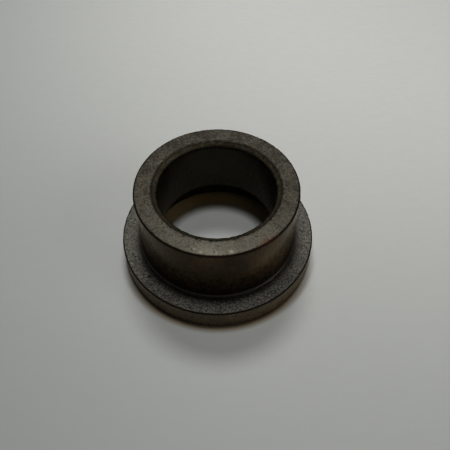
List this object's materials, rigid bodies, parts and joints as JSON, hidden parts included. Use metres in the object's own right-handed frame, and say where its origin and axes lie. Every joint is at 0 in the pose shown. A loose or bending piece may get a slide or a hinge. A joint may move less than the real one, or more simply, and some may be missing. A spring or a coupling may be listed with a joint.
{
  "type": "flanged sleeve bushing",
  "caption": "Flanged plain bearing bushing in sintered bronze, with a chamfered through bore and a recessed flange end.",
  "frame": {"origin": "centre of the bore in the plane of the flange's thrust face, which is the face it stands on", "axes": "+Z runs along the bore, from the flange towards the plain end of the barrel; X and Y are free, because the part is round"},
  "size_m": [0.035, 0.035, 0.0164],
  "materials": {
    "sintered_bronze": "as-sintered and oil-darkened: fine sandy grain on the pressed faces, satin on the walls"
  },
  "bodies": {
    "root": {"flanged_bushing": "sintered_bronze"}
  },
  "joints": []
}
